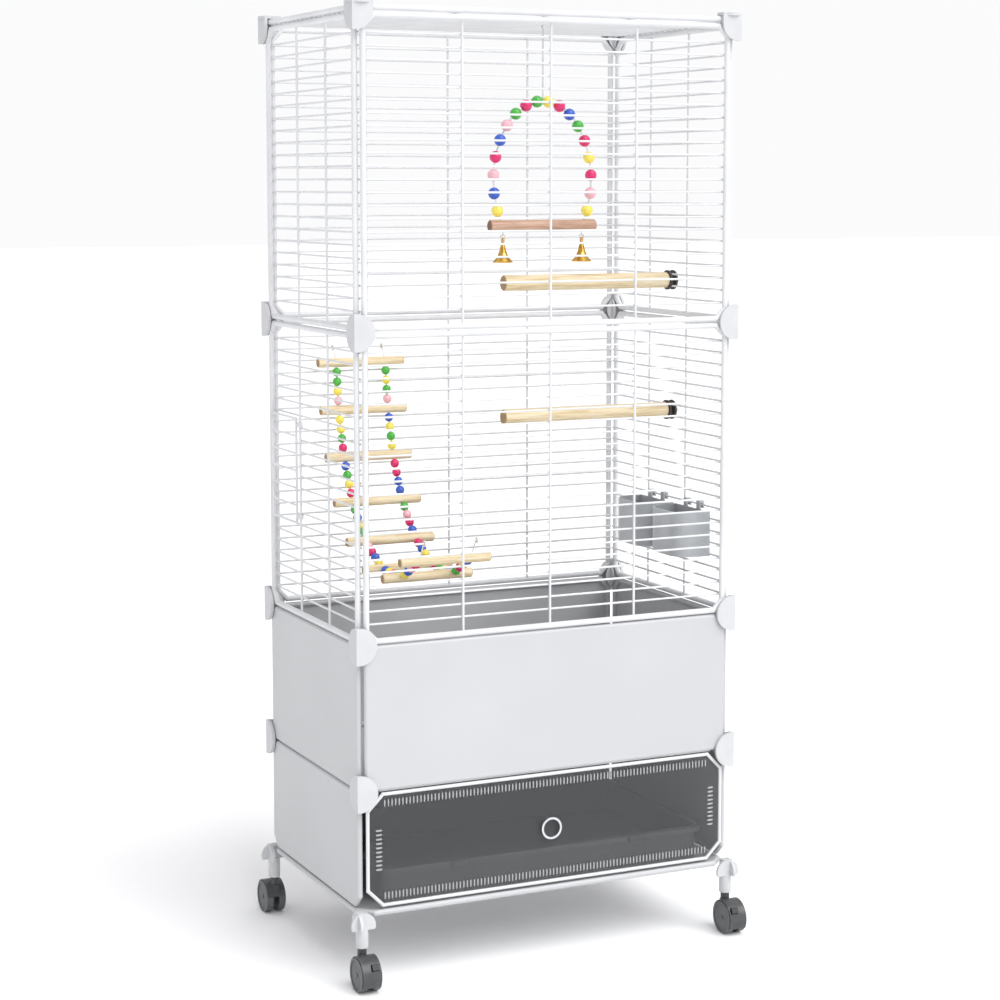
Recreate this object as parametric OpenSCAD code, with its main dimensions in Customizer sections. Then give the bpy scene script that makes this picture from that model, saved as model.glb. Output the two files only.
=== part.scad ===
// Bird cage on a wheeled stand: wire panels clipped together at the corners, a solid litter
// tier, a storage drawer, and a perch, swing, ladder and cup set inside.

/* [Cage] */
// Width over the corner connectors
cage_w = 506; // [440:1:640]
// Depth over the corner connectors
cage_d = 317; // [300:1:400]
// Height of one wire tier, from rail pair to rail pair
tier_h = 362; // [345:1:440]
// Height of the solid litter tier
box_h = 173.5; // [140:0.5:220]
// Height of the storage tier
store_h = 141.4; // [120:0.1:180]
// Height of the lowest rail pair above the floor
base_z = 91; // [88:1:120]

/* [Panels] */
// Diameter of a panel's frame tube
tube_d = 7; // [6:0.5:7.5]
// Depth of the frame tube's centre behind the outer face
tube_inset = 8; // [8:0.5:9]
// Distance of a panel's end tube from the corner, along the face
corner_gap = 15.4; // [15.4:0.1:18]
// Cut-off corner of a panel frame
corner_cut = 12; // [12:0.5:14]
// Distance between the two tubes of a rail pair
rail_pair = 8.5; // [8:0.5:10]
// Diameter of the horizontal bars
bar_d = 2.5; // [2:0.1:3]
// Diameter of the upright bars
upright_d = 3; // [2.6:0.1:3.4]
// Spacing of the horizontal bars
bar_pitch = 15; // [13:0.5:18]
// Thickness of a solid panel's sheet
sheet_t = 2; // [1.5:0.5:3]

/* [Connectors] */
// Radius of a connector's round cover
plate_r = 21.7; // [20:0.1:22]
// Straight part of the cover, beside the corner
plate_flat = 4; // [3:0.5:5]
// Thickness of the outer cover
plate_t = 3.5; // [3:0.1:3.8]
// Side of the solid corner block
core_s = 12.2; // [11.5:0.1:12.2]

/* [Stand] */
// Diameter of a caster wheel
wheel_d = 40; // [35:1:48]
// Width over the two wheels
wheel_pair_w = 25; // [22:1:30]
// Distance of the wheel centre from the swivel axis
trail = 12; // [10:1:13]
// Diameter of the foot's stem
stem_d = 15; // [14:0.5:17]
// Distance of the swivel axis from both outer faces
stem_in = 6.8; // [6:0.1:8]

/* [Drawer] */
// Diameter of the drawer's frame wire
drawer_wire_d = 4.4; // [3.6:0.2:4.8]
// Height of the tray
tray_h = 43; // [30:1:60]
// Length of the tray, front to back
tray_l = 262; // [180:1:268]
// Outer diameter of the ring pull
ring_d = 27; // [24:1:34]
// Distance that the drawer pulls out
drawer_travel = 230; // [150:1:240]

/* [Perches] */
// Diameter of the fixed perches
perch_d = 20; // [16:1:24]
// Length of the fixed perches
perch_l = 232; // [150:1:300]

/* [Swing] */
// Half width of the beaded arch
arch_a = 67.5; // [55:0.5:75]
// Half height of the beaded arch
arch_b = 97; // [80:1:110]
// Height of the arch's centre below the top rail pair
arch_drop = 189; // [170:1:220]
// Distance of the swing right of the middle
swing_x = 59; // [20:1:90]
// Diameter of the swing's beads
bead_d = 15; // [12:0.5:16]
// Diameter of the swing's perch
swing_perch_d = 15; // [12:0.5:18]
// Length of the swing's perch
swing_perch_l = 146; // [130:1:160]

/* [Ladder] */
// Distance between two rungs
rung_gap = 60.5; // [54:0.5:61]
// Diameter of a rung
rung_d = 12; // [10:0.5:13]
// Length of a rung
rung_l = 117; // [100:1:140]
// Diameter of the ladder's beads
ladder_bead_d = 11.4; // [9:0.2:11.6]

/* [Cups] */
// Width of a feeder cup along the wall
cup_w = 86; // [70:1:90]
// Depth of a feeder cup away from the wall
cup_d = 45; // [40:1:60]
// Height of a feeder cup
cup_h = 56; // [40:1:70]

/* [Hidden] */
$fn = 32;

l4 = base_z;
l3 = l4 + store_h;
l2 = l3 + box_h;
l1 = l2 + tier_h;
l0 = l1 + tier_h;
tube_r = tube_d / 2;
bar_r = bar_d / 2;
upright_r = upright_d / 2;
bead_over = 0.15;          // a bend's bead stands this much proud of its tube
weld = 0.4;                // how far two welded wires sink into each other
upright_in = tube_inset + tube_r - upright_r - 0.2;
top_raised = 0.6;           // bars of the top sit this much higher, clear of the side rails
bar_in = upright_in + upright_r + bar_r - weld;
front_span = cage_w - 2 * corner_gap;
side_span = cage_d - 2 * corner_gap;
half_w = cage_w / 2;
half_d = cage_d / 2;
third = side_span / 6;     // uprights of a side panel stand at plus and minus this
run = 0.05;                // radial clearance of a pin in its hole

caster_z = wheel_d / 2;
stem_bottom = caster_z + wheel_d / 2 + 8.8;
foot_bottom = base_z - 20.2;
pin_r = 4;
axle_r = 3;
hood_r = wheel_d / 2 + 2;
hood_gap = 0.6;
wheel_w = 8.4;
brake_angle = 28;

drawer_r = drawer_wire_d / 2;
drawer_cut = (plate_r + drawer_r + 0.6) * sqrt(2) - (corner_gap - plate_flat) - rail_pair / 2;
drawer_h = store_h - rail_pair;
sheet_front = tube_inset - sheet_t / 2;
tray_gap = 3;
tray_w = cage_w - 68;
tray_z = l4 + 1.2;
tray_wall = 2.5;

bar_count = floor((tier_h - rail_pair - 2 * tube_d) / bar_pitch);
upper_mid = (l0 + l1) / 2;
lower_mid = (l1 + l2) / 2;
perch_y = -half_d + 0.48 * cage_d;
perch_end = bar_in + bar_r + 2.4;
upper_perch_z = gap_near(upper_mid, l1 + 46);
lower_perch_z = gap_near(lower_mid, l2 + 241);
bolt_r = 2.5;
washer_r = 12.5;

swing_y = -bar_pitch / 2;
swing_top = l0 + rail_pair / 2 + tube_inset - bar_in + top_raised;
arch_z = l0 - arch_drop;
swing_wire_r = 1.2;
bead_count = 18;
bead_step = 13.3;            // degrees from one bead to the next round the arch
swing_perch_z = arch_z - arch_b * 0.58;
side_r = 0.93 * arch_b * arch_b / arch_a;    // bend radius of the arch's sides
crown_r = (2 * side_r * arch_a - arch_a * arch_a - arch_b * arch_b) / (side_r - arch_b) / 2;
side_foot = asin((arch_z - swing_perch_z) / side_r);
bell_x = arch_a - side_r + side_r * cos(side_foot);
link_r = 3;
link_wire_r = 0.9;
link_z = swing_perch_z - swing_perch_d / 2 - 7;
bell_link_z = link_z - 3.6;
bell_top = bell_link_z - link_r;
bell_h = 25;

rung_count = 8;
ladder_x = -half_w + 66;
ladder_y = half_d - bar_in - bar_r - rung_d / 2 - 4;
ladder_z = l2 + 305;
string_x = [25, rung_l - 25];
string_r = 0.8;
knot_r = 1.7;                // the knot of a string inside its rung
beads_per_gap = 4;
hook_back_z = bar_near(lower_mid, ladder_z + 18);
hook_front_z = bar_near(lower_mid, ladder_z - 192);

door_x = third + 4;
door_end = side_span / 2 - tube_r - 2.4;
door_wire_r = 1.5;
door_in = tube_inset - 2;
door_low = bar_near(lower_mid, l2 + 116);
door_high = door_low + 9 * bar_pitch;
door_bottom = door_low + 3.2;
door_top = door_high - 3.2;

cup_wall = 2;
cup_back = bar_in + bar_r + 0.6;
cup_hook_z = bar_near(lower_mid, l2 + 128);
cup_z = cup_hook_z - 62;
cup_pitch = cup_w + 6;
front_cup_y = -half_d + 40.5 + cup_w / 2;

// Height of bar number k of a tier, counted from the tier's middle
function bar_z(mid, k) = mid + (k - (bar_count - 1) / 2) * bar_pitch;
// The bar, and the gap between two bars, nearest to a height
function bar_near(mid, z) = bar_z(mid, round((z - bar_z(mid, 0)) / bar_pitch));
function gap_near(mid, z) = bar_near(mid, z - bar_pitch / 2) + bar_pitch / 2;
// Slope of the ladder after rung k: almost upright at the back, rising again at the front
function ladder_slope(k) = -82 + 5.83 * k + 2.06 * k * k;
function rung_y(k) = k == 0 ? ladder_y : rung_y(k - 1) - rung_gap * cos(ladder_slope(k - 1));
function rung_z(k) = k == 0 ? ladder_z : rung_z(k - 1) + rung_gap * sin(ladder_slope(k - 1));
// Point of the swing's arch at an angle from its right side
function arch_point(a) = [arch_a * cos(a), 0, arch_z + arch_b * sin(a)];
function bead_angle(i) = 90 + (i - (bead_count - 1) / 2) * bead_step;

// Faces of the cage: each places its children, drawn with X along the face, Y inwards
module on_front() { translate([0, -half_d, 0]) children(); }
module on_back() { translate([0, half_d, 0]) rotate([0, 0, 180]) children(); }
module on_left() { translate([-half_w, 0, 0]) rotate([0, 0, -90]) children(); }
module on_right() { translate([half_w, 0, 0]) rotate([0, 0, 90]) children(); }
// One child at each of the four corners, drawn for the front left one
module at_corner(sx, sy) {
    mirror([sx > 0 ? 1 : 0, 0, 0]) mirror([0, sy > 0 ? 1 : 0, 0])
        translate([-half_w, -half_d, 0]) children();
}
module at_corners() {
    for (sx = [-1, 1], sy = [-1, 1]) at_corner(sx, sy) children();
}

// A round rod between two points
module rod(p, q, r) {
    d = q - p;
    translate(p)
        rotate([0, acos(d[2] / norm(d)), atan2(d[1], d[0])])
            cylinder(h = norm(d), r = r);
}

// Corners of a rectangle w by h with its corners cut off
function cut_outline(w, h, cut) = [
    [w / 2 - cut, -h / 2], [w / 2, -h / 2 + cut], [w / 2, h / 2 - cut], [w / 2 - cut, h / 2],
    [-w / 2 + cut, h / 2], [-w / 2, h / 2 - cut], [-w / 2, -h / 2 + cut], [-w / 2 + cut, -h / 2]];

// A closed tube frame in the XZ plane, with a bead at each bend
module tube_frame(w, h, cut, r, over = bead_over) {
    points = cut_outline(w, h, cut);
    for (i = [0:7]) {
        a = points[i];
        b = points[(i + 1) % 8];
        rod([a[0], 0, a[1]], [b[0], 0, b[1]], r);
        translate([a[0], 0, a[1]]) sphere(r = r + over);
    }
}

// A barred panel in the XZ plane, frame and bars welded, with Y inwards
module bar_panel(w, h, cut, uprights, count, raised = 0) {
    tube_frame(w, h, cut, tube_r);
    for (k = [0:count - 1])
        translate([-w / 2 - 1.5, bar_in - tube_inset - raised,
            (k - (count - 1) / 2) * bar_pitch])
            rotate([0, 90, 0]) cylinder(h = w + 3, r = bar_r);
    for (x = uprights)
        translate([x, upright_in - tube_inset, -h / 2]) cylinder(h = h, r = upright_r);
}
module wall_panel(w, mid, uprights) {
    translate([0, tube_inset, mid])
        bar_panel(w, tier_h - rail_pair, corner_cut, uprights, bar_count);
}
front_uprights = [-front_span * 0.24, 0, front_span * 0.24];
side_uprights = [-third, third];

// A solid panel: a sheet moulded over a tube frame
module solid_panel(w, h, z) {
    translate([0, tube_inset, z]) {
        tube_frame(w, h, corner_cut, tube_r);
        translate([0, -tube_r + 0.1 + sheet_t, 0]) rotate([90, 0, 0])
            linear_extrude(sheet_t) polygon(cut_outline(w, h, corner_cut));
    }
}
// A level sheet over a tube frame, for the two floors
module floor_panel(z, inset, cut) {
    translate([0, 0, z]) rotate([90, 0, 0]) {
        tube_frame(cage_w - 2 * inset, cage_d - 2 * inset, cut, tube_r);
        translate([0, tube_r - 0.1, 0]) rotate([90, 0, 0]) linear_extrude(sheet_t)
            polygon(cut_outline(cage_w - 2 * inset, cage_d - 2 * inset, cut));
    }
}

module top_panel() {
    color("gainsboro") translate([0, 0, l0 + rail_pair / 2]) rotate([-90, 0, 0])
        bar_panel(cage_w - 2 * tube_inset, cage_d - 2 * tube_inset, corner_cut + 4,
            front_uprights, floor((cage_d - 2 * tube_inset - 2 * tube_d) / bar_pitch / 2) * 2,
            top_raised);
}
module upper_front_panel() {
    color("gainsboro") on_front() wall_panel(front_span, upper_mid, front_uprights);
}
module upper_back_panel() {
    color("gainsboro") on_back() wall_panel(front_span, upper_mid, front_uprights);
}
module upper_left_panel() {
    color("gainsboro") on_left() wall_panel(side_span, upper_mid, side_uprights);
}
module upper_right_panel() {
    color("gainsboro") on_right() wall_panel(side_span, upper_mid, side_uprights);
}
module lower_front_panel() {
    color("gainsboro") on_front() wall_panel(front_span, lower_mid, front_uprights);
}
module lower_back_panel() {
    color("gainsboro") on_back() wall_panel(front_span, lower_mid, front_uprights);
}
// The lower left panel leaves out its bars behind the side door
module lower_left_panel() {
    color("gainsboro") on_left() difference() {
        wall_panel(side_span, lower_mid, side_uprights);
        translate([-side_span / 2 + tube_r + 0.5, tube_inset - 2, door_low + bar_r + 1])
            cube([side_span / 2 - tube_r - 0.5 - third - upright_r * 0.4, 12,
                door_high - door_low - 2 * bar_r - 2]);
    }
}
module lower_right_panel() {
    color("gainsboro") on_right() wall_panel(side_span, lower_mid, side_uprights);
}

module litter_front_panel() {
    color("lightgray") on_front() solid_panel(front_span, box_h - rail_pair, (l2 + l3) / 2);
}
module litter_back_panel() {
    color("lightgray") on_back() solid_panel(front_span, box_h - rail_pair, (l2 + l3) / 2);
}
module litter_left_panel() {
    color("lightgray") on_left() solid_panel(side_span, box_h - rail_pair, (l2 + l3) / 2);
}
module litter_right_panel() {
    color("lightgray") on_right() solid_panel(side_span, box_h - rail_pair, (l2 + l3) / 2);
}
// A thin sheet held between the two rails of its level
module litter_floor() {
    thin = rail_pair - 2 * tube_r - 0.1;
    color("silver") translate([0, 0, l3 - thin / 2]) linear_extrude(thin)
        polygon(cut_outline(cage_w - 2 * tube_inset, cage_d - 2 * tube_inset, 22));
}
module storage_left_panel() {
    color("lightgray") on_left() solid_panel(side_span, drawer_h, (l3 + l4) / 2);
}
module storage_right_panel() {
    color("lightgray") on_right() solid_panel(side_span, drawer_h, (l3 + l4) / 2);
}
module storage_back_panel() {
    color("lightgray") on_back() solid_panel(front_span, drawer_h, (l3 + l4) / 2);
}
module storage_floor() {
    color("silver") floor_panel(l4 - rail_pair / 2, tube_inset, corner_cut + 4);
}

// Round-ended cover outline, from the corner inwards
module cover_outline(r) {
    translate([0, -r]) square([plate_flat, 2 * r]);
    translate([plate_flat, 0]) circle(r = r);
}
module cover(r, t) {
    rotate([90, 0, 0]) mirror([0, 0, 1]) linear_extrude(t) difference() {
        cover_outline(r);
        translate([-2 * r, -2 * r]) square([2 * r, 4 * r]);
    }
}
// One arm's inner jaw, which holds the panel frames against the cover
module jaw(r, t) {
    translate([0, core_s, 0]) intersection() {
        cover(r, t);
        translate([core_s - 0.2, -t, -r]) cube([2 * r, 3 * t, 2 * r]);
    }
}
module swap_arms() { mirror([1, -1, 0]) children(); }
module connector(jaw_high = plate_r) {
    cover(plate_r, plate_t);
    swap_arms() cover(plate_r, plate_t);
    intersection() {
        union() {
            jaw(plate_r - 4.7, 2);
            swap_arms() jaw(plate_r - 4.7, 2);
        }
        translate([0, 0, -plate_r]) cube([2 * plate_r, 2 * plate_r, plate_r + jaw_high]);
    }
    translate([0, 0, -12]) cube([core_s + 1, core_s + 1, 24]);
}
module mid_connector(z) { translate([0, 0, z]) connector(); }
// The top connectors end in a flat cap over the top panel's corner
module cap_connector() {
    cap_z = rail_pair / 2 + tube_r + 0.75;
    cap_t = 3.5;
    difference() {
        union() {
            connector(rail_pair / 2 - tube_r - bead_over - 0.2);
            cube([plate_flat + plate_r, plate_t, cap_z]);
            cube([plate_t, plate_flat + plate_r, cap_z]);
        }
        translate([-50, -50, cap_z]) cube(200);
    }
    translate([0, 0, cap_z]) linear_extrude(cap_t) {
        square([plate_flat + plate_r, plate_flat + plate_r / 3]);
        square([plate_flat + plate_r / 3, plate_flat + plate_r]);
        translate([plate_flat + plate_r / 3, plate_flat + plate_r / 3])
            circle(r = plate_r * 2 / 3);
    }
}
module top_connectors() { color("lightgray") at_corners() translate([0, 0, l0]) cap_connector(); }
module upper_connectors() { color("lightgray") at_corners() mid_connector(l1); }
module middle_connectors() { color("lightgray") at_corners() mid_connector(l2); }
module lower_connectors() { color("lightgray") at_corners() mid_connector(l3); }

// A foot: two domed plates on the outer faces, a core up into the corner and a bored stem
module dome(t) {
    dome_r = 15;
    rotate([90, 0, 0]) mirror([0, 0, 1]) linear_extrude(t) translate([stem_in, 0]) difference() {
        translate([0, 5]) circle(r = dome_r);
        translate([-2 * dome_r, -4 * dome_r]) square([4 * dome_r, 4 * dome_r]);
    }
}
module foot() {
    difference() {
        union() {
            translate([0, 0, foot_bottom]) dome(plate_t);
            translate([0, 0, foot_bottom]) swap_arms() dome(plate_t);
            translate([0, 0, foot_bottom])
                cube([core_s, core_s, base_z - 0.5 - foot_bottom]);
            translate([stem_in, stem_in, stem_bottom])
                cylinder(h = foot_bottom + 4 - stem_bottom, d = stem_d);
        }
        translate([stem_in, stem_in, stem_bottom - 1])
            cylinder(h = foot_bottom + 6 - stem_bottom, r = pin_r + run);
    }
}
module front_left_foot() { color("lightgray") at_corner(-1, -1) foot(); }
module front_right_foot() { color("lightgray") at_corner(1, -1) foot(); }
module back_left_foot() { color("lightgray") at_corner(-1, 1) foot(); }
module back_right_foot() { color("lightgray") at_corner(1, 1) foot(); }

// A disc about the wheel axis, which runs along X at the wheel centre
module disc(r, x0, x1) {
    translate([stem_in + x0, stem_in - trail, caster_z]) rotate([0, 90, 0])
        cylinder(h = x1 - x0, r = r, $fn = 64);
}
// The hood covers the wheels from the front and carries the axle in its middle web
module hood(with_brake) {
    web = wheel_pair_w / 2 - wheel_w - hood_gap;
    difference() {
        union() {
            disc(hood_r, -wheel_pair_w / 2 + 1, wheel_pair_w / 2 - 1);
            translate([stem_in - web, stem_in - trail, caster_z - 4])
                cube([2 * web, trail + 7, caster_z + 3]);
            translate([stem_in, stem_in, caster_z + 8])
                cylinder(h = stem_bottom - 0.5 - caster_z - 8, r = 5.5);
            translate([stem_in, stem_in, caster_z + 8])
                cylinder(h = foot_bottom + 3 - caster_z - 8, r = pin_r);
        }
        disc(hood_r - 2 + hood_gap, web, wheel_pair_w);
        disc(hood_r - 2 + hood_gap, -wheel_pair_w, -web);
        disc(axle_r + run, -wheel_pair_w, wheel_pair_w);
        translate([stem_in - 30, stem_in - trail - 40, -10]) cube([60, 80, 19]);
        translate([stem_in - 30, stem_in - trail + 8, -10]) cube([60, 50, caster_z + 14]);
        if (with_brake) brake_place() translate([-0.6, hood_r - 8, -1.6]) cube([10.2, 12, 8.2]);
    }
}
// The brake sits in a window of the hood, at an angle above the wheel centre
module brake_place() {
    translate([stem_in, stem_in - trail, caster_z]) rotate([-brake_angle, 0, 0])
        mirror([0, 1, 0]) children();
}
module brake() {
    brake_place() translate([0, hood_r - 1.2, -1]) cube([9, 4.2, 6.6]);
}
module wheels() {
    inner = wheel_pair_w / 2 - wheel_w;
    disc(axle_r, -wheel_pair_w / 2, wheel_pair_w / 2);
    for (m = [0, 1]) translate([stem_in, 0, 0]) mirror([m, 0, 0]) translate([-stem_in, 0, 0])
        difference() {
            disc(wheel_d / 2, inner, wheel_pair_w / 2);
            disc(wheel_d / 2 - 3, wheel_pair_w / 2 - 0.8, wheel_pair_w);
        }
}
module front_left_hood() { color("dimgray") at_corner(-1, -1) hood(true); }
module front_right_hood() { color("dimgray") at_corner(1, -1) hood(true); }
module back_left_hood() { color("dimgray") at_corner(-1, 1) hood(false); }
module back_right_hood() { color("dimgray") at_corner(1, 1) hood(false); }
module front_left_wheels() { color("gray") at_corner(-1, -1) wheels(); }
module front_right_wheels() { color("gray") at_corner(1, -1) wheels(); }
module back_left_wheels() { color("gray") at_corner(-1, 1) wheels(); }
module back_right_wheels() { color("gray") at_corner(1, 1) wheels(); }
module left_brake() { color("black") at_corner(-1, -1) brake(); }
module right_brake() { color("black") at_corner(1, -1) brake(); }

module drawer_place() { on_front() translate([0, tube_inset, (l3 + l4) / 2]) children(); }
module drawer_frame() {
    color("white") drawer_place() tube_frame(front_span, drawer_h, drawer_cut, drawer_r, 0.35);
}
// The smoked sheet has a row of small slots along its top and bottom and one at each end
module drawer_sheet() {
    slot = [2, 9];
    slot_pitch = 4.6;
    slots = floor((front_span - 2 * drawer_cut - 4) / slot_pitch / 2);
    end_slots = 10;
    end_pitch = 5.2;
    color([0.3, 0.3, 0.32, 0.6]) drawer_place() translate([0, sheet_t / 2, 0]) rotate([90, 0, 0])
        linear_extrude(sheet_t) difference() {
            polygon(cut_outline(front_span, drawer_h, drawer_cut));
            for (k = [-slots:slots], z = [-1, 1])
                translate([k * slot_pitch, z * (drawer_h / 2 - 11)]) square(slot, center = true);
            for (k = [0:end_slots - 1], x = [-1, 1])
                translate([x * (front_span / 2 - 14), (k - (end_slots - 1) / 2) * end_pitch])
                    square([8, 2.6], center = true);
        }
}
module ring_pull() {
    color("silver") drawer_place() translate([0, -sheet_t / 2, 0]) rotate([90, 0, 0])
        difference() {
            cylinder(h = 4, d = ring_d, $fn = 64);
            translate([0, 0, -1]) cylinder(h = 6, d = ring_d - 5.2, $fn = 64);
        }
}
// A rounded box drawn from its front lower middle
module rounded_box(w, l, h, r) {
    linear_extrude(h) {
        translate([-w / 2 + r, 0]) square([w - 2 * r, l]);
        translate([-w / 2, r]) square([w, l - 2 * r]);
        for (x = [-w / 2 + r, w / 2 - r], y = [r, l - r]) translate([x, y]) circle(r = r);
    }
}
tray_front = tube_inset + sheet_t / 2 + tray_gap;
module drawer_tray() {
    rim = 6;
    color([0.25, 0.26, 0.27]) on_front() translate([0, tray_front, tray_z]) difference() {
        union() {
            translate([0, rim, 0])
                rounded_box(tray_w - 2 * rim, tray_l - 2 * rim, tray_h, 14);
            translate([0, 0, tray_h - 6]) rounded_box(tray_w, tray_l, 6, 18);
        }
        translate([0, rim + tray_wall, tray_wall])
            rounded_box(tray_w - 2 * (rim + tray_wall), tray_l - 2 * (rim + tray_wall),
                tray_h, 11.5);
    }
}
module drawer_clips() {
    color("darkgray") for (x = [-120, 120])
        on_front() translate([x - 10, tray_front - tray_gap, tray_z + tray_h - 6])
            cube([20, tray_gap, 6]);
}

// The side door hangs from one of its panel's uprights by two rolled eyes
module side_door() {
    low = door_bottom;
    high = door_top;
    color("white") on_left() {
        for (z = [low, high])
            rod([-door_x, door_in, z], [-door_end, door_in, z], door_wire_r);
        for (x = [door_x, door_end]) {
            rod([-x, door_in, low], [-x, door_in, high], door_wire_r);
            for (z = [low, high]) translate([-x, door_in, z]) sphere(r = door_wire_r + bead_over);
        }
        for (k = [1:5]) {
            z = low + k * (high - low) / 6;
            rod([-door_x, door_in, z], [-door_end, door_in, z], bar_r);
        }
        for (z = [low + 4.3, high - 10.3]) difference() {
            union() {
                translate([-third, upright_in, z]) cylinder(h = 6, r = upright_r + 1.6);
                translate([-door_x, door_in - 1, z + 1]) cube([4, 4.4, 4]);
            }
            translate([-third, upright_in, z - 1]) cylinder(h = 8, r = upright_r + run);
        }
    }
}

// Perches along X, bolted through the right wall between two bars
module on_perch(z) { translate([half_w, perch_y, z]) rotate([0, -90, 0]) children(); }
module perch(z) {
    color("burlywood") on_perch(z) translate([0, 0, perch_end]) difference() {
        cylinder(h = perch_l, d = perch_d);
        translate([0, 0, -1]) cylinder(h = 31, r = bolt_r);
    }
}
module upper_perch() { perch(upper_perch_z); }
module lower_perch() { perch(lower_perch_z); }
module perch_bolts() {
    wing_z = upright_in - upright_r - 7.2;
    color("silver") for (z = [upper_perch_z, lower_perch_z]) on_perch(z) {
        translate([0, 0, -8]) cylinder(h = perch_end + 38, r = bolt_r);
        translate([0, 0, wing_z]) cylinder(h = 4.8, r = 4.6);
        translate([-2, -9, wing_z]) cube([4, 18, 3.4]);
    }
}
module perch_washers() {
    outer = upright_in - upright_r - 2.4;
    inner = bar_in + bar_r + 0.2;
    color("dimgray") for (z = [upper_perch_z, lower_perch_z], d = [outer, inner])
        on_perch(z) translate([0, 0, d]) difference() {
            cylinder(h = 2.2, r = washer_r);
            translate([0, 0, -1]) cylinder(h = 5, r = bolt_r);
        }
}

module on_swing() { translate([swing_x, swing_y, 0]) children(); }
// A ring of wire; flat in XZ, or turned into YZ
module wire_ring(r, wire, turned) {
    rotate([0, 0, turned ? 90 : 0]) rotate([90, 0, 0]) rotate_extrude()
        translate([r, 0]) circle(r = wire, $fn = 16);
}
// Part of a round wire bent to a radius, from one angle on, in XZ
module bent_wire(r, from, turn, wire) {
    rotate([90, 0, 0]) rotate([0, 0, from]) rotate_extrude(angle = turn, $fn = 160)
        translate([r, 0]) circle(r = wire, $fn = 16);
}
// A weld that stands clearly proud of a thin wire
module wire_weld(x, z, r) { translate([x, 0, z]) sphere(r = r + 0.45, $fn = 20); }
module swing_wire() {
    hook_r = bar_r + swing_wire_r + 0.7;
    stem_r = swing_wire_r - 0.2;
    side_turn = asin((arch_b - crown_r) / (side_r - crown_r));
    color("silver") on_swing() {
        translate([0, 0, swing_top]) wire_ring(hook_r, swing_wire_r, true);
        rod([0, 0, swing_top - hook_r], [0, 0, arch_z + arch_b], stem_r);
        wire_weld(0, swing_top - hook_r, swing_wire_r);
        wire_weld(0, arch_z + arch_b, swing_wire_r);
        translate([0, 0, arch_z + arch_b - crown_r])
            bent_wire(crown_r, side_turn, 180 - 2 * side_turn, swing_wire_r);
        for (m = [0, 1]) mirror([m, 0, 0]) {
            translate([arch_a - side_r, 0, arch_z])
                bent_wire(side_r, -side_foot, side_foot + side_turn, swing_wire_r);
            wire_weld(crown_r * cos(side_turn), arch_z + side_r * sin(side_turn), swing_wire_r);
            wire_weld(bell_x, swing_perch_z, swing_wire_r);
            wire_weld(bell_x, link_z + link_r, link_wire_r);
            rod([bell_x, 0, swing_perch_z], [bell_x, 0, link_z + link_r], link_wire_r - 0.1);
            translate([bell_x, 0, link_z]) wire_ring(link_r, link_wire_r, false);
        }
    }
}
module swing_beads() {
    shades = ["limegreen", "deeppink", "limegreen", "pink", "royalblue", "deeppink", "pink",
        "royalblue", "gold"];
    on_swing() for (i = [0:bead_count - 1])
        color(shades[i % 9]) translate(arch_point(bead_angle(i))) sphere(d = bead_d, $fn = 48);
}
module swing_perch() {
    color("tan") on_swing() translate([-swing_perch_l / 2, 0, swing_perch_z])
        rotate([0, 90, 0]) cylinder(h = swing_perch_l, d = swing_perch_d);
}
// A flared bell, open below, with a loop on top
module bell() {
    wall = 0.9;
    outer = [[0, bell_h], [2, bell_h], [3.2, 20], [5.2, 12], [8, 6], [12.6, 1], [12.6, 0]];
    rotate_extrude() difference() {
        polygon(concat(outer, [[0, 0]]));
        polygon([[-1, -1], [11.8, -1], [11.8, 0.8], [7.2, 5.7], [4.2, 12], [2.4, 18.6],
            [1, 21], [-1, 21]]);
    }
    translate([0, 0, bell_h + link_r - wall]) wire_ring(link_r, link_wire_r, true);
}
module bell_at(s) {
    color("gold") on_swing()
        translate([s * bell_x, 0, bell_top - bell_h + 0.9]) bell();
}
module left_bell() { bell_at(-1); }
module right_bell() { bell_at(1); }

module on_ladder(x) { translate([ladder_x + x, 0, 0]) children(); }
module ladder_rungs() {
    color("wheat") for (k = [0:rung_count - 1])
        on_ladder(0) translate([0, rung_y(k), rung_z(k)]) rotate([0, 90, 0])
            cylinder(h = rung_l, d = rung_d);
}
module ladder_beads() {
    color("royalblue") for (x = string_x, k = [0:rung_count - 2], b = [0:beads_per_gap - 1]) {
        part = rung_d / 2 + (b + 0.5) * (rung_gap - rung_d) / beads_per_gap;
        on_ladder(x) translate([0, rung_y(k) - part * cos(ladder_slope(k)),
            rung_z(k) + part * sin(ladder_slope(k))]) sphere(d = ladder_bead_d);
    }
}
module ladder_cords() {
    last = rung_count - 1;
    wall_y = half_d - bar_in;
    hook_r = bar_r + 1.5;
    color("white") for (x = string_x) on_ladder(x) {
        for (k = [0:last - 1])
            rod([0, rung_y(k), rung_z(k)], [0, rung_y(k + 1), rung_z(k + 1)], string_r);
        for (k = [0:last]) translate([0, rung_y(k), rung_z(k)]) sphere(r = knot_r);
        rod([0, rung_y(0), rung_z(0)], [0, wall_y - hook_r, hook_back_z], string_r);
        rod([0, rung_y(last), rung_z(last)], [0, -wall_y + hook_r, hook_front_z], string_r);
        for (end = [[wall_y, hook_back_z], [-wall_y, hook_front_z]])
            translate([0, end[0], end[1]]) wire_ring(hook_r, string_r + 0.3, true);
    }
}

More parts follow.
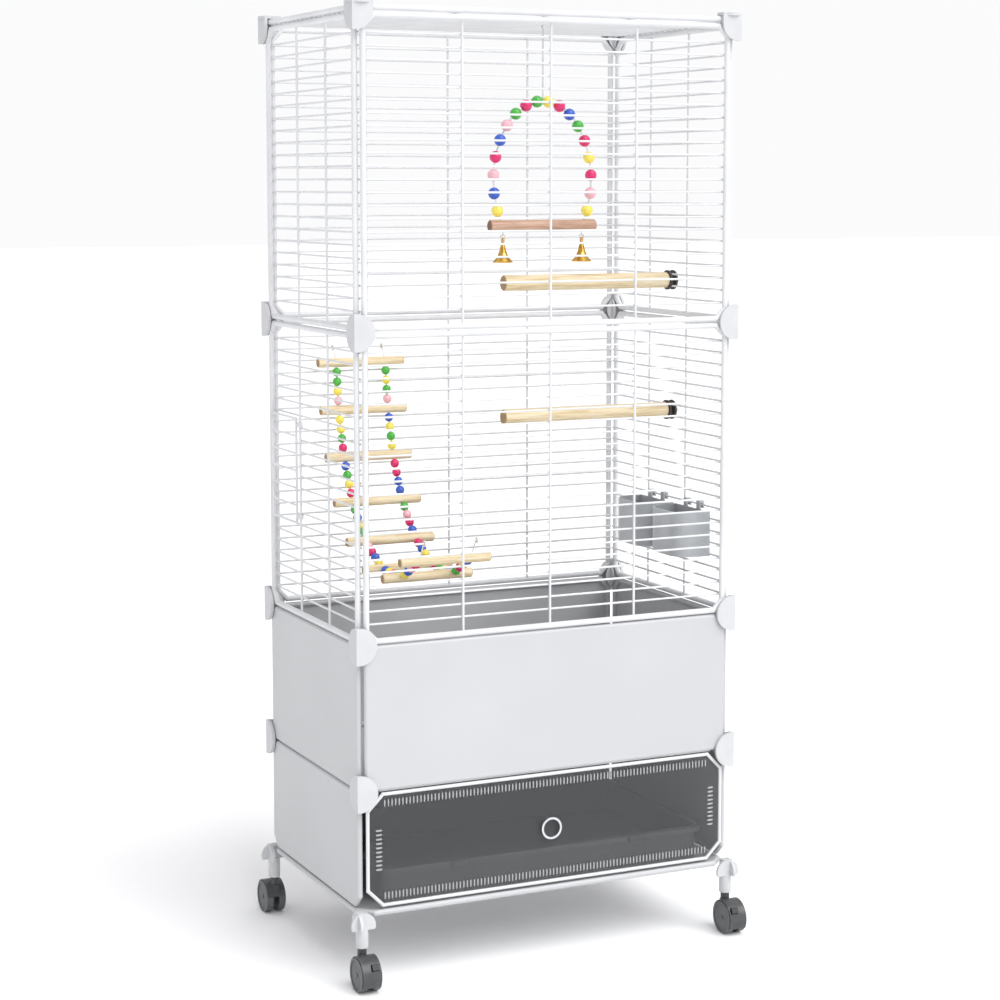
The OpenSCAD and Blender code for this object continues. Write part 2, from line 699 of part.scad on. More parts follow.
// A D-shaped cup that hooks over one bar of the right wall
module cup_outline(edge) {
    round_r = 26 - edge;
    reach = cup_w / 2 - 26;
    translate([-cup_w / 2 + edge, edge]) square([cup_w - 2 * edge, cup_d - 26 - edge]);
    translate([-reach, edge]) square([2 * reach, cup_d - 2 * edge]);
    for (x = [-reach, reach]) translate([x, cup_d - 26]) intersection() {
        circle(r = round_r);
        translate([-26, -min(round_r, cup_d - 26 - edge)]) square([52, 52]);
    }
}
module cup(y) {
    color("silver") on_right() translate([y, cup_back, cup_z]) {
        difference() {
            linear_extrude(cup_h) cup_outline(0);
            translate([0, 0, cup_wall]) linear_extrude(cup_h) cup_outline(cup_wall);
        }
        for (x = [-16, 16]) translate([x - 4, 0, 0]) {
            lip = bar_in - bar_r - 0.3 - 1.9 - cup_back;
            top = cup_hook_z - cup_z + bar_r + 0.5;
            translate([0, 0, cup_h - 6]) cube([8, cup_wall, top + 8.6 - cup_h]);
            translate([0, lip, top]) cube([8, cup_wall - lip, 2.6]);
            translate([0, lip, top - 6.5]) cube([8, 1.9, 9.1]);
        }
    }
}
module front_cup() { cup(front_cup_y); }
module rear_cup() { cup(front_cup_y + cup_pitch); }

top_panel();
upper_front_panel();
upper_back_panel();
upper_left_panel();
upper_right_panel();
lower_front_panel();
lower_back_panel();
lower_left_panel();
lower_right_panel();
litter_front_panel();
litter_back_panel();
litter_left_panel();
litter_right_panel();
litter_floor();
storage_left_panel();
storage_right_panel();
storage_back_panel();
storage_floor();
top_connectors();
upper_connectors();
middle_connectors();
lower_connectors();
front_left_foot();
front_right_foot();
back_left_foot();
back_right_foot();
front_left_hood();
front_right_hood();
back_left_hood();
back_right_hood();
front_left_wheels();
front_right_wheels();
back_left_wheels();
back_right_wheels();
left_brake();
right_brake();
drawer_frame();
drawer_sheet();
drawer_tray();
drawer_clips();
ring_pull();
side_door();
upper_perch();
lower_perch();
perch_bolts();
perch_washers();
swing_wire();
swing_beads();
swing_perch();
left_bell();
right_bell();
ladder_rungs();
ladder_beads();
ladder_cords();
front_cup();
rear_cup();
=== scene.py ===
import math

import bpy
import numpy as np
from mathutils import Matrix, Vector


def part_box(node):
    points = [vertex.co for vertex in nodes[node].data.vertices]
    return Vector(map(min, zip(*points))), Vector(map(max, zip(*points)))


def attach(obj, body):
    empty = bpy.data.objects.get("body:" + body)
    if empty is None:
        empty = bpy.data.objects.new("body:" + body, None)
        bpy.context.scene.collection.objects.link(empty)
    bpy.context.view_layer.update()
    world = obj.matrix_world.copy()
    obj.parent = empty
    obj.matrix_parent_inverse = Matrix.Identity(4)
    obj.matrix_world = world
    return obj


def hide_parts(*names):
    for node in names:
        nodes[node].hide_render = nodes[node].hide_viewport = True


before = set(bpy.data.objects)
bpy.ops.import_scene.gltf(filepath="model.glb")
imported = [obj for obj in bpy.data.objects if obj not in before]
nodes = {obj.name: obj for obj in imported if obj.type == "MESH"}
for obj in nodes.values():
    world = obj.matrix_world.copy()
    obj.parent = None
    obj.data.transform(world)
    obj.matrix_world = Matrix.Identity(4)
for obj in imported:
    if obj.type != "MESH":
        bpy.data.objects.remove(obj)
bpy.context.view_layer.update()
scene = bpy.context.scene

# ---------------------------------------------------------------- Studio
# A long lens stands at chest height to the left of the cage and looks slightly down.
# The cage stands on a pale floor under a soft sky, with one large lamp high at its front.
camera_data = bpy.data.cameras.new("studio_camera")
camera_data.sensor_width = 36
camera_data.lens = 81.78
camera_data.shift_x = -0.0035
camera_data.shift_y = -0.07
camera_tilt, camera_heading = 6.21, -25.36          # degrees below level, and from straight on
camera = bpy.data.objects.new("studio_camera", camera_data)
camera.location = (-1.2002, -2.5509, 0.9375)
camera.rotation_euler = (math.radians(90 - camera_tilt), 0, math.radians(camera_heading))
scene.collection.objects.link(camera)
scene.camera = camera
scene.view_settings.view_transform = "Standard"


def paint(red, green, blue):
    """A display colour from 0 to 255 as the linear colour that a shader takes."""
    c = np.array([red, green, blue], float) / 255
    return (*np.where(c <= 0.04045, c / 12.92, ((c + 0.055) / 1.055) ** 2.4).tolist(), 1.0)


def new_finish(name):
    """An empty material with its Principled shader and Object coordinates."""
    finish = bpy.data.materials.new(name)
    finish.use_nodes = True
    tree = finish.node_tree
    shader = tree.nodes["Principled BSDF"]
    coordinates = tree.nodes.new("ShaderNodeTexCoord")
    return finish, tree, shader, coordinates.outputs["Object"]


def noise_of(tree, place, scale, detail=3.0, stretch=(1, 1, 1)):
    """Noise with that many cells a metre, along a stretched place; gives its value."""
    mapping = tree.nodes.new("ShaderNodeMapping")
    mapping.inputs["Scale"].default_value = stretch
    tree.links.new(place, mapping.inputs["Vector"])
    noise = tree.nodes.new("ShaderNodeTexNoise")
    noise.inputs["Scale"].default_value = scale
    noise.inputs["Detail"].default_value = detail
    tree.links.new(mapping.outputs["Vector"], noise.inputs["Vector"])
    return noise.outputs["Fac"]


def ramp_of(tree, value, stops):
    """Colours blended along a value; stops are (position, linear colour)."""
    ramp = tree.nodes.new("ShaderNodeValToRGB")
    elements = ramp.color_ramp.elements
    while len(elements) < len(stops):
        elements.new(0.5)
    for element, (position, colour) in zip(elements, stops):
        element.position = position
        element.color = colour
    tree.links.new(value, ramp.inputs["Fac"])
    return ramp.outputs["Color"]


def roughness_between(tree, shader, value, low, high):
    """Roughness that runs from low to high with a value from about 0.3 to 0.7."""
    spread = tree.nodes.new("ShaderNodeMapRange")
    spread.inputs["From Min"].default_value = 0.3
    spread.inputs["From Max"].default_value = 0.7
    spread.inputs["To Min"].default_value = low
    spread.inputs["To Max"].default_value = high
    tree.links.new(value, spread.inputs["Value"])
    tree.links.new(spread.outputs["Result"], shader.inputs["Roughness"])


def relief(tree, shader, value, depth, strength=0.5):
    """Bump of that depth in metres from a value."""
    bump = tree.nodes.new("ShaderNodeBump")
    bump.inputs["Distance"].default_value = depth
    bump.inputs["Strength"].default_value = strength
    tree.links.new(value, bump.inputs["Height"])
    tree.links.new(bump.outputs["Normal"], shader.inputs["Normal"])


floor_reach = 30
floor_mesh = bpy.data.meshes.new("studio_floor")
floor_mesh.from_pydata(
    [(-floor_reach, -floor_reach, 0), (floor_reach, -floor_reach, 0),
     (floor_reach, floor_reach, 0), (-floor_reach, floor_reach, 0)], [], [(0, 1, 2, 3)])
floor = bpy.data.objects.new("studio_floor", floor_mesh)
scene.collection.objects.link(floor)
floor_finish, _, floor_shader, _ = new_finish("studio_floor_matte")
floor_shader.inputs["Base Color"].default_value = (0.93, 0.93, 0.93, 1)
floor_shader.inputs["Roughness"].default_value = 0.9
floor_mesh.materials.append(floor_finish)

world = bpy.data.worlds.new("studio_sky")
scene.world = world
world.use_nodes = True
sky_tree = world.node_tree
sky_place = sky_tree.nodes.new("ShaderNodeTexCoord")
sky_split = sky_tree.nodes.new("ShaderNodeSeparateXYZ")
sky_tree.links.new(sky_place.outputs["Generated"], sky_split.inputs["Vector"])
low_sky, middle_sky, high_sky = (0.97, 0.97, 0.98, 1), (0.5, 0.5, 0.51, 1), (1.1, 1.1, 1.12, 1)
sky_colour = ramp_of(sky_tree, sky_split.outputs["Z"], [
    (0.0, low_sky), (0.2, low_sky), (0.45, middle_sky), (1.0, high_sky)])
sky_tree.links.new(sky_colour, sky_tree.nodes["Background"].inputs["Color"])

# The lamp lights the whole floor evenly from far away, and is wide enough for soft shadows.
lamp = bpy.data.lights.new("front_lamp", "SUN")
lamp.energy = 2.45
lamp.angle = math.radians(50)
lamp_body = bpy.data.objects.new("front_lamp", lamp)
lamp_body.rotation_euler = (math.radians(42), 0, math.radians(22))
scene.collection.objects.link(lamp_body)

# ---------------------------------------------------------------- Barred panels
# Steel tube frames with welded round bars and uprights, powder coated off-white after
# welding. The left wall of the lower room has a door that hinges on one of its uprights.
coat, coat_tree, coat_shader, coat_place = new_finish("powder_coat_white")
coat_shader.inputs["Specular IOR Level"].default_value = 0.45
coat_tone = noise_of(coat_tree, coat_place, 22)
coat_tree.links.new(ramp_of(coat_tree, coat_tone, [
    (0.3, paint(208, 209, 211)), (0.7, paint(218, 219, 221))]), coat_shader.inputs["Base Color"])
coat_peel = noise_of(coat_tree, coat_place, 1400, 2)
roughness_between(coat_tree, coat_shader, coat_peel, 0.3, 0.42)
relief(coat_tree, coat_shader, coat_peel, 0.00006)


def give(names, finish):
    """Puts a finish on CAD nodes."""
    for name in names:
        node = nodes[name]
        if not node.material_slots:
            node.data.materials.append(finish)
        for place in node.material_slots:
            place.material = finish


sides = ["front", "back", "left", "right"]
give([f"{tier}_{side}_panel" for tier in ("upper", "lower") for side in sides], coat)
give(["top_panel", "side_door"], coat)

# ---------------------------------------------------------------- Solid panels and floors
# Light grey plastic sheets moulded over the same tube frames, smooth and faintly glossy.
# The litter tier has four, the storage tier three and a floor; a thin sheet carries litter.
sheeting, sheeting_tree, sheeting_shader, sheeting_place = new_finish("sheeting_grey")
sheeting_shader.inputs["Specular IOR Level"].default_value = 0.4
sheeting_tone = noise_of(sheeting_tree, sheeting_place, 6, 4)
sheeting_tree.links.new(ramp_of(sheeting_tree, sheeting_tone, [
    (0.3, paint(186, 187, 189)), (0.7, paint(191, 192, 194))]),
    sheeting_shader.inputs["Base Color"])
sheeting_grain = noise_of(sheeting_tree, sheeting_place, 900, 3)
roughness_between(sheeting_tree, sheeting_shader, sheeting_grain, 0.32, 0.46)
relief(sheeting_tree, sheeting_shader, sheeting_grain, 0.00004, 0.35)
give([f"litter_{side}_panel" for side in sides], sheeting)
give([f"storage_{side}_panel" for side in ("left", "right", "back")], sheeting)
give(["litter_floor", "storage_floor"], sheeting)

# ---------------------------------------------------------------- Corner connectors and feet
# Injection moulded off-white plastic: jaws that snap on the tubes, under a round cover plate.
# The top ones end in a cap; a domed foot under each lower corner holds the caster stem.
moulded, moulded_tree, moulded_shader, moulded_place = new_finish("connector_plastic")
moulded_shader.inputs["Specular IOR Level"].default_value = 0.35
moulded_tone = noise_of(moulded_tree, moulded_place, 40)
moulded_tree.links.new(ramp_of(moulded_tree, moulded_tone, [
    (0.3, paint(194, 195, 197)), (0.7, paint(200, 201, 203))]),
    moulded_shader.inputs["Base Color"])
moulded_grain = noise_of(moulded_tree, moulded_place, 2200, 2)
roughness_between(moulded_tree, moulded_shader, moulded_grain, 0.45, 0.6)
relief(moulded_tree, moulded_shader, moulded_grain, 0.00005, 0.5)
corners = ["front_left", "front_right", "back_left", "back_right"]
give([f"{level}_connectors" for level in ("top", "upper", "middle", "lower")], moulded)
give([f"{corner}_foot" for corner in corners], moulded)

# ---------------------------------------------------------------- Casters
# Twin wheels of dark grey nylon under a glossier hood, on a black neck that swivels.
# The front two have a black brake tab in a window of the hood.


def dark_plastic(name, darker, lighter, low, high, grain_depth=0.00006):
    """Moulded dark plastic with faint flow marks and a fine grain."""
    finish, tree, shader, place = new_finish(name)
    tone = noise_of(tree, place, 120, 4)
    tree.links.new(ramp_of(tree, tone, [(0.3, darker), (0.7, lighter)]),
                   shader.inputs["Base Color"])
    grain = noise_of(tree, place, 1800, 2)
    roughness_between(tree, shader, grain, low, high)
    relief(tree, shader, grain, grain_depth, 0.5)
    return finish


hood_plastic = dark_plastic("caster_hood_plastic", paint(62, 63, 64), paint(74, 75, 77), 0.28, 0.4)
wheel_plastic = dark_plastic(
    "caster_wheel_plastic", paint(84, 86, 88), paint(98, 100, 102), 0.4, 0.55)
brake_plastic = dark_plastic("brake_plastic", paint(16, 16, 17), paint(26, 26, 27), 0.3, 0.45)
give([f"{corner}_hood" for corner in corners], hood_plastic)
give([f"{corner}_wheels" for corner in corners], wheel_plastic)
give(["left_brake", "right_brake"], brake_plastic)

# ---------------------------------------------------------------- Drawer
# A smoked clear sheet in a white wire frame, with a dark tray clipped behind it.
# A bright ring at its centre is the pull.
smoked, smoked_tree, smoked_shader, smoked_place = new_finish("smoked_sheet")
smoked_shader.inputs["Base Color"].default_value = paint(92, 94, 96)
smoked_shader.inputs["Specular IOR Level"].default_value = 0.5
smoked_haze = noise_of(smoked_tree, smoked_place, 14, 3)
roughness_between(smoked_tree, smoked_shader, smoked_haze, 0.06, 0.12)
smoked_shader.inputs["Alpha"].default_value = 0.3
give(["drawer_frame"], coat)
give(["drawer_sheet"], smoked)
tray_plastic = dark_plastic("tray_plastic", paint(92, 93, 95), paint(100, 101, 103), 0.42, 0.5,
                            0.000015)
give(["drawer_tray", "drawer_clips"], tray_plastic)


def bare_metal(name, darker, lighter, low, high):
    """Bright metal with fine drawn lines and small stains."""
    finish, tree, shader, place = new_finish(name)
    shader.inputs["Metallic"].default_value = 1.0
    tone = noise_of(tree, place, 180, 4)
    tree.links.new(ramp_of(tree, tone, [(0.3, darker), (0.7, lighter)]),
                   shader.inputs["Base Color"])
    lines = noise_of(tree, place, 700, 3, (1, 1, 0.15))
    roughness_between(tree, shader, lines, low, high)
    relief(tree, shader, lines, 0.00003, 0.4)
    return finish


bright_metal = bare_metal("bright_metal", paint(205, 207, 210), paint(228, 229, 231), 0.16, 0.3)
give(["ring_pull", "swing_wire", "perch_bolts"], bright_metal)

# ---------------------------------------------------------------- Perches
# Straight beech dowels, sanded and bare, with chamfered ends. Each is bolted through the
# right wall: a long bolt, two dark washers that grip the bars, and a wing nut outside.
wood_grain_stretch = (1.5, 26, 26)


def bare_wood(name, light, middle, dark, end):
    """Sanded wood with its grain along X; cut ends, marked by the cut attribute, are darker."""
    finish, tree, shader, place = new_finish(name)
    streaks = noise_of(tree, place, 14, 6, wood_grain_stretch)
    colour = ramp_of(tree, streaks, [(0.3, dark), (0.5, middle), (0.68, light)])
    fibres = noise_of(tree, place, 60, 4, wood_grain_stretch)
    tinted = tree.nodes.new("ShaderNodeMix")
    tinted.data_type = "RGBA"
    tinted.blend_type = "MULTIPLY"
    tinted.inputs["Factor"].default_value = 0.22
    tree.links.new(colour, tinted.inputs["A"])
    tree.links.new(ramp_of(tree, fibres, [(0.35, (0.6, 0.55, 0.5, 1)), (0.6, (1, 1, 1, 1))]),
                   tinted.inputs["B"])
    cut = tree.nodes.new("ShaderNodeAttribute")
    cut.attribute_name = "cut"
    ended = tree.nodes.new("ShaderNodeMix")
    ended.data_type = "RGBA"
    tree.links.new(cut.outputs["Fac"], ended.inputs["Factor"])
    tree.links.new(tinted.outputs["Result"], ended.inputs["A"])
    ended.inputs["B"].default_value = end
    tree.links.new(ended.outputs["Result"], shader.inputs["Base Color"])
    roughness_between(tree, shader, fibres, 0.55, 0.75)
    relief(tree, shader, fibres, 0.0002, 0.5)
    return finish


sharp_edge = math.radians(35)


def closed_skin(name, rings, finish, wrap=False):
    """Surface over copies of rows of points, shaped (copies, rows, columns, 3).
    Columns close on themselves. Rows close too where wrap is set, and otherwise each end
    row is closed by a fan to its own middle. Faces are turned outwards by signed volume.
    Gives the piece, and the points in each copy."""
    copies, rows, columns, _ = rings.shape
    row = np.arange(rows if wrap else rows - 1)[:, None]
    column = np.arange(columns)[None, :]
    quads = np.stack([row * columns + column, row * columns + (column + 1) % columns,
                      (row + 1) % rows * columns + (column + 1) % columns,
                      (row + 1) % rows * columns + column], -1).reshape(-1, 4)
    points = rings.reshape(copies, -1, 3)
    faces = quads.tolist()
    if not wrap:
        points = np.concatenate([points, rings[:, [0, -1]].mean(2)], 1)
        first, last = rows * columns, rows * columns + 1
        edge = np.arange(columns)
        turned = (edge + 1) % columns
        base = (rows - 1) * columns
        faces += np.stack([turned, edge, np.full(columns, first)], -1).tolist()
        faces += np.stack([base + edge, base + turned, np.full(columns, last)], -1).tolist()
    a, b, c = points[0][quads[:, 0]], points[0][quads[:, 1]], points[0][quads[:, 2]]
    middle = points[0].mean(0)
    if np.einsum("ij,ij->", a - middle, np.cross(b - middle, c - middle)) < 0:
        faces = [face[::-1] for face in faces]
    every = [[index + copy * points.shape[1] for index in face]
             for copy in range(copies) for face in faces]
    mesh = bpy.data.meshes.new(name)
    mesh.from_pydata(points.reshape(-1, 3).tolist(), [], every)
    mesh.polygons.foreach_set("use_smooth", np.ones(len(every), bool))
    mesh.set_sharp_from_angle(angle=sharp_edge)
    mesh.materials.append(finish)
    piece = bpy.data.objects.new(name, mesh)
    scene.collection.objects.link(piece)
    return piece, points.shape[1]


dowel_chamfer = 0.0012
dowel_wobble = 0.00012                # sanding takes the surface in by up to twice this
wobble_along, wobble_round = 90, 3    # radians a metre along it, and waves round a turn


def dowels(name, starts, length, radius, finish):
    """Dowels along X from each start: a profile of radius by distance, carried round X.
    A slow sine takes the radius in, and the end faces carry the cut attribute."""
    starts = np.array(starts, float)
    along = np.concatenate([[0, 0, dowel_chamfer], np.linspace(0.06, 0.94, 12) * length,
                            [length - dowel_chamfer, length, length]])
    size = np.full(along.shape, radius)
    size[[0, -1]] = radius * 0.5
    size[[1, -2]] = radius - dowel_chamfer
    turn = np.linspace(0, 2 * np.pi, 40, endpoint=False)
    spread = size[:, None] - dowel_wobble * (1 + np.sin(
        along[:, None] * wobble_along + wobble_round * turn[None, :])) * (
            size[:, None] >= radius)
    rings = np.stack([np.broadcast_to(along[:, None], spread.shape),
                      spread * np.cos(turn), spread * np.sin(turn)], -1)
    piece, count = closed_skin(name, starts[:, None, None, :] + rings[None], finish)
    cut = np.zeros((len(starts), count))
    cut[:, :2 * len(turn)] = 1
    cut[:, (len(along) - 2) * len(turn):] = 1
    piece.data.attributes.new("cut", "FLOAT", "POINT").data.foreach_set("value", cut.ravel())
    return piece


def dowel_from(node):
    """Start, length and radius of a single dowel along X, from its CAD node's box."""
    low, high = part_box(node)
    return ((low.x, (low.y + high.y) / 2, (low.z + high.z) / 2), high.x - low.x,
            (high.z - low.z) / 2)


pale_wood = bare_wood("pale_wood", paint(238, 224, 194), paint(230, 212, 176),
                      paint(208, 184, 142), paint(160, 130, 92))
for perch in ("upper_perch", "lower_perch"):
    start, length, radius = dowel_from(perch)
    dowel = dowels(f"{perch}_dowel", [start], length, radius, pale_wood)
    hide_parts(perch)
    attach(dowel, "cage")
give(["perch_washers"], dark_plastic("washer_rubber", paint(60, 54, 50), paint(76, 70, 66),
                                     0.55, 0.75))

# ---------------------------------------------------------------- Slot fillings
# The small slots of the smoked sheet are filled with a paler frosted plastic, moulded in.
# A row of upright ones runs along the top and the bottom, and a column of level ones at each end.
sheet_low, sheet_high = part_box("drawer_sheet")
slot_count, slot_pitch, slot_rows_in = 95, 0.0046, 0.011
end_count, end_pitch, end_columns_in = 10, 0.0052, 0.014
slot_half, end_half = (0.0009, 0.0044), (0.0039, 0.0012)
filling_thickness = 0.9               # as a share of the sheet's
frosted, frosted_tree, frosted_shader, frosted_place = new_finish("frosted_filling")
frosted_cloud = noise_of(frosted_tree, frosted_place, 700, 3)
frosted_tree.links.new(ramp_of(frosted_tree, frosted_cloud, [
    (0.3, paint(158, 160, 162)), (0.7, paint(184, 186, 188))]),
    frosted_shader.inputs["Base Color"])
roughness_between(frosted_tree, frosted_shader, frosted_cloud, 0.4, 0.6)
frosted_shader.inputs["Alpha"].default_value = 0.85


def pillows(name, centres, half, thick, finish):
    """Flat pillows in XZ: a superellipse of exponent 4 for each of four levels through
    their thickness, where the outer levels are drawn in by a tenth."""
    turn = np.linspace(0, 2 * np.pi, 16, endpoint=False)
    outline = [np.sign(f) * np.abs(f) ** 0.5 for f in (np.cos(turn), np.sin(turn))]
    inward = np.array([0.9, 1, 1, 0.9])[:, None]
    depth = np.array([-0.5, -0.35, 0.35, 0.5])[:, None] * thick
    rings = np.stack([inward * half[0] * outline[0], np.broadcast_to(depth, (4, 16)),
                      inward * half[1] * outline[1]], -1)
    centres = np.array(centres, float)
    return closed_skin(name, centres[:, None, None, :] + rings[None], finish)[0]


sheet_middle = (sheet_low + sheet_high) / 2
sheet_thick = sheet_high.y - sheet_low.y
row_x = sheet_middle.x + (np.arange(slot_count) - (slot_count - 1) / 2) * slot_pitch
column_z = sheet_middle.z + (np.arange(end_count) - (end_count - 1) / 2) * end_pitch
row_centres = [(x, sheet_middle.y, z) for z in (sheet_low.z + slot_rows_in,
                                                sheet_high.z - slot_rows_in) for x in row_x]
column_centres = [(x, sheet_middle.y, z) for x in (sheet_low.x + end_columns_in,
                                                   sheet_high.x - end_columns_in)
                  for z in column_z]
for name, centres, half in (("slot_fillings", row_centres, slot_half),
                            ("end_slot_fillings", column_centres, end_half)):
    filling = pillows(name, centres, half, sheet_thick * filling_thickness, frosted)
    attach(filling, "drawer")

# ---------------------------------------------------------------- Swing
# An arch of steel wire threaded with painted wooden beads, hung from a bar of the top.
# Its perch is a darker dowel between the feet of the arch, with a brass bell under each.
arch_half_width = 0.0675
arch_height = 0.097
perch_drop = 0.58                     # perch below the arch's middle, as a share of its height
bead_step = math.radians(13.3)
arch_bead, arch_bore = 0.015, 0.0014  # diameter of a bead, and radius of its bore
bead_shades = {
    "green": paint(72, 178, 60), "magenta": paint(222, 32, 106), "pink": paint(240, 184, 194),
    "blue": paint(48, 92, 200), "yellow": paint(246, 226, 92)}
arch_shades = ("yellow pink magenta yellow magenta green blue magenta yellow "
               "green magenta green pink blue magenta pink blue yellow").split()

bead_paint, bead_tree, bead_shader, bead_place = new_finish("bead_paint")
bead_shader.inputs["Coat Weight"].default_value = 0.35
bead_shader.inputs["Coat Roughness"].default_value = 0.12
bead_colour = bead_tree.nodes.new("ShaderNodeAttribute")
bead_colour.attribute_name = "shade"
bead_mottle = noise_of(bead_tree, bead_place, 500, 4, (1, 1, 0.4))
bead_mix = bead_tree.nodes.new("ShaderNodeMix")
bead_mix.data_type = "RGBA"
bead_mix.blend_type = "MULTIPLY"
bead_mix.inputs["Factor"].default_value = 0.5
bead_tree.links.new(bead_colour.outputs["Color"], bead_mix.inputs["A"])
bead_tree.links.new(ramp_of(bead_tree, bead_mottle, [
    (0.35, (0.72, 0.72, 0.72, 1)), (0.6, (1, 1, 1, 1))]), bead_mix.inputs["B"])
bead_tree.links.new(bead_mix.outputs["Result"], bead_shader.inputs["Base Color"])
roughness_between(bead_tree, bead_shader, bead_mottle, 0.28, 0.42)
relief(bead_tree, bead_shader, bead_mottle, 0.00012, 0.4)


bore_edge = 0.0003                    # width of the flat round the mouth of a bore
bore_reach = 0.94                     # the bore's wall, as a share of the bead's half height


def threaded_beads(name, centres, directions, diameter, bore, shades):
    """Turned beads: a circle cut off by a bore, carried round each bead's own axis.
    Every centre, direction and shade gives one bead."""
    centres, directions = np.array(centres, float), np.array(directions, float)
    directions /= np.linalg.norm(directions, axis=1)[:, None]
    lift = math.acos((bore + bore_edge) / (diameter / 2))
    latitude = np.linspace(-lift, lift, 13)
    radius = np.concatenate([diameter / 2 * np.cos(latitude), [bore, bore]])
    height = np.concatenate([
        diameter / 2 * np.sin(latitude),
        np.array([bore_reach, -bore_reach]) * diameter / 2 * math.sin(lift)])
    turn = np.linspace(0, 2 * np.pi, 20, endpoint=False)
    across = np.broadcast_to([1.0, 0.0, 0.0], directions.shape)
    across = across + (np.abs(directions[:, :1]) > 0.9) * [-1.0, 1.0, 0.0]
    first = np.cross(directions, across)
    first /= np.linalg.norm(first, axis=1)[:, None]
    second = np.cross(directions, first)
    spoke = (first[:, None] * np.cos(turn)[None, :, None]
             + second[:, None] * np.sin(turn)[None, :, None])
    rings = (centres[:, None, None] + radius[None, :, None, None] * spoke[:, None]
             + height[None, :, None, None] * directions[:, None, None])
    piece, count = closed_skin(name, rings, bead_paint, wrap=True)
    colours = np.repeat(np.array([bead_shades[s] for s in shades]), count, axis=0)
    piece.data.attributes.new("shade", "FLOAT_COLOR", "POINT").data.foreach_set(
        "color", colours.ravel())
    return piece


swing_start, swing_length, swing_radius = dowel_from("swing_perch")
swing_middle = swing_start[0] + swing_length / 2
arch_level = swing_start[2] + perch_drop * arch_height
bead_turn = math.pi / 2 + (np.arange(len(arch_shades)) - (len(arch_shades) - 1) / 2) * bead_step
arch_centres = np.stack([
    swing_middle + arch_half_width * np.cos(bead_turn), np.full(len(bead_turn), swing_start[1]),
    arch_level + arch_height * np.sin(bead_turn)], -1)
arch_directions = np.stack([
    -arch_half_width * np.sin(bead_turn), np.zeros(len(bead_turn)),
    arch_height * np.cos(bead_turn)], -1)
arch_beads = threaded_beads("swing_bead_string", arch_centres, arch_directions, arch_bead,
                            arch_bore, arch_shades)
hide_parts("swing_beads")
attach(arch_beads, "swing")
pink_wood = bare_wood("pink_wood", paint(212, 180, 160), paint(198, 162, 140),
                      paint(172, 134, 112), paint(126, 94, 74))
swing_dowel = dowels("swing_perch_dowel", [swing_start], swing_length, swing_radius, pink_wood)
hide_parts("swing_perch")
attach(swing_dowel, "swing")
give(["left_bell", "right_bell"],
     bare_metal("bell_brass", paint(196, 148, 62), paint(232, 190, 98), 0.14, 0.3))

# ---------------------------------------------------------------- Ladder
# Eight bare dowels threaded on two white cords, with four painted beads between each pair.
# It hangs from bars of the back and front walls in a loose curve.
rung_count, rung_radius = 8, 0.006
ladder_gap = 0.0605                   # between the middles of two rungs
beads_a_gap = 4
ladder_bead, ladder_bore = 0.0114, 0.0011
string_inset = 0.025
rung_low, rung_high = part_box("ladder_rungs")
rung_order = np.arange(rung_count)
# The cord starts almost upright and levels out by a quadratic of the rung's number.
slope = np.radians(-82 + 5.83 * rung_order + 2.06 * rung_order ** 2)
rung_y = rung_high.y - rung_radius - ladder_gap * np.concatenate(
    [[0], np.cumsum(np.cos(slope[:-1]))])
rung_z = rung_high.z - rung_radius + ladder_gap * np.concatenate(
    [[0], np.cumsum(np.sin(slope[:-1]))])
rungs = dowels("ladder_dowels", np.stack([np.full(rung_count, rung_low.x), rung_y, rung_z], -1),
               rung_high.x - rung_low.x, rung_radius, pale_wood)
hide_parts("ladder_rungs")
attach(rungs, "ladder")
left_string = ("green green yellow pink yellow yellow green magenta blue green yellow magenta "
               "green blue yellow green pink magenta blue yellow blue yellow magenta green "
               "yellow blue pink magenta").split()
right_string = ("green yellow green pink blue yellow green yellow magenta magenta blue blue "
                "green pink magenta blue magenta blue yellow pink magenta green yellow blue "
                "green magenta yellow blue").split()
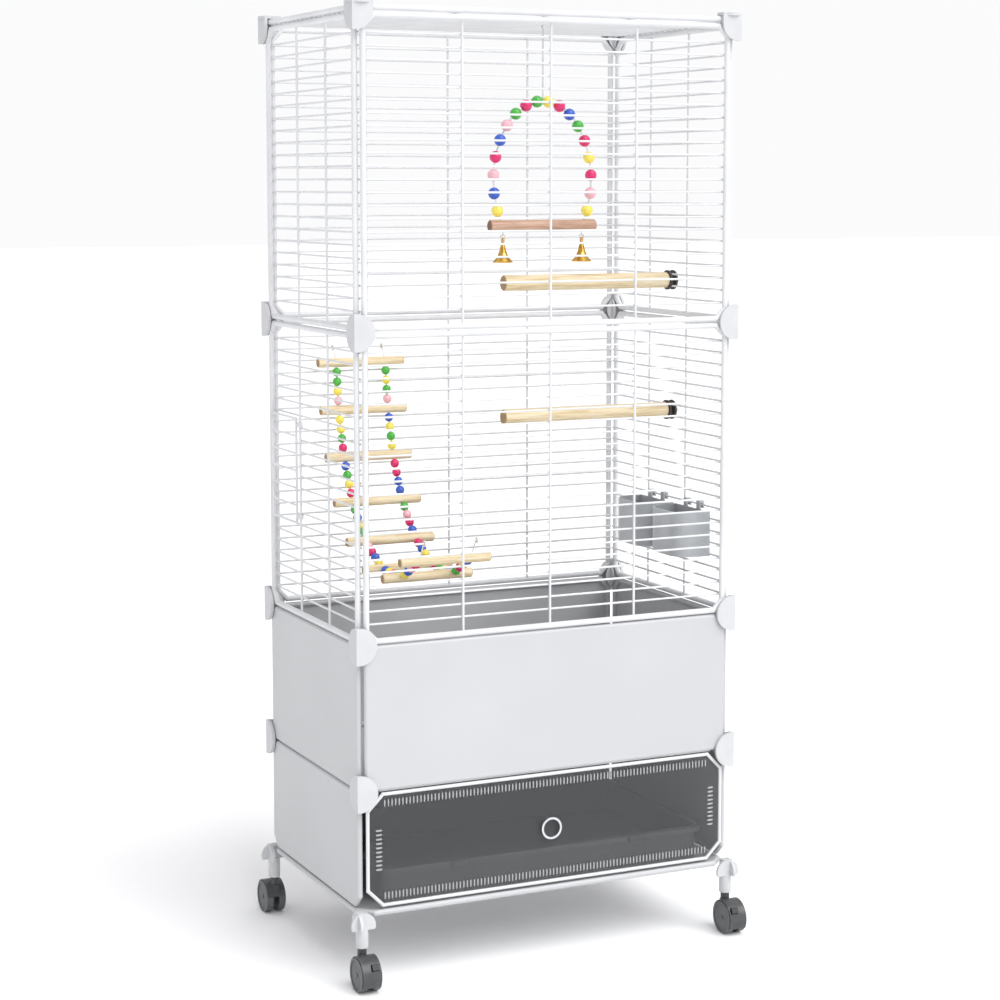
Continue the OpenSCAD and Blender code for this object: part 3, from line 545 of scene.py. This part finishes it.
between = ladder_gap - 2 * rung_radius
bead_along = rung_radius + (np.arange(beads_a_gap) + 0.5) * between / beads_a_gap
bead_y = (rung_y[:-1, None] - bead_along[None] * np.cos(slope[:-1, None])).ravel()
bead_z = (rung_z[:-1, None] + bead_along[None] * np.sin(slope[:-1, None])).ravel()
string_x = np.array([rung_low.x + string_inset, rung_high.x - string_inset])
ladder_centres = np.stack([
    np.repeat(string_x, len(bead_y)), np.tile(bead_y, 2), np.tile(bead_z, 2)], -1)
lean = np.stack([np.zeros(len(bead_y)), -np.repeat(np.cos(slope[:-1]), beads_a_gap),
                 np.repeat(np.sin(slope[:-1]), beads_a_gap)], -1)
string_beads = threaded_beads("ladder_bead_strings", ladder_centres, np.tile(lean, (2, 1)),
                              ladder_bead, ladder_bore, left_string + right_string)
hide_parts("ladder_beads")
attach(string_beads, "ladder")

twine, twine_tree, twine_shader, twine_place = new_finish("ladder_twine")
twine_lay = noise_of(twine_tree, twine_place, 900, 3, (1, 1, 0.5))
twine_tree.links.new(ramp_of(twine_tree, twine_lay, [
    (0.35, paint(196, 192, 182)), (0.65, paint(236, 233, 226))]),
    twine_shader.inputs["Base Color"])
twine_shader.inputs["Roughness"].default_value = 0.9
relief(twine_tree, twine_shader, twine_lay, 0.0003, 0.8)
give(["ladder_cords"], twine)

# ---------------------------------------------------------------- Feeder cups
# Two grey moulded cups with a flat back, hooked over a bar of the right wall.
cup_plastic, cup_tree, cup_shader, cup_place = new_finish("cup_plastic")
cup_shader.inputs["Specular IOR Level"].default_value = 0.55
cup_tone = noise_of(cup_tree, cup_place, 30, 3)
cup_tree.links.new(ramp_of(cup_tree, cup_tone, [
    (0.3, paint(168, 171, 174)), (0.7, paint(180, 183, 186))]), cup_shader.inputs["Base Color"])
cup_grain = noise_of(cup_tree, cup_place, 1500, 2)
roughness_between(cup_tree, cup_shader, cup_grain, 0.24, 0.36)
relief(cup_tree, cup_shader, cup_grain, 0.00004, 0.4)
give(["front_cup", "rear_cup"], cup_plastic)
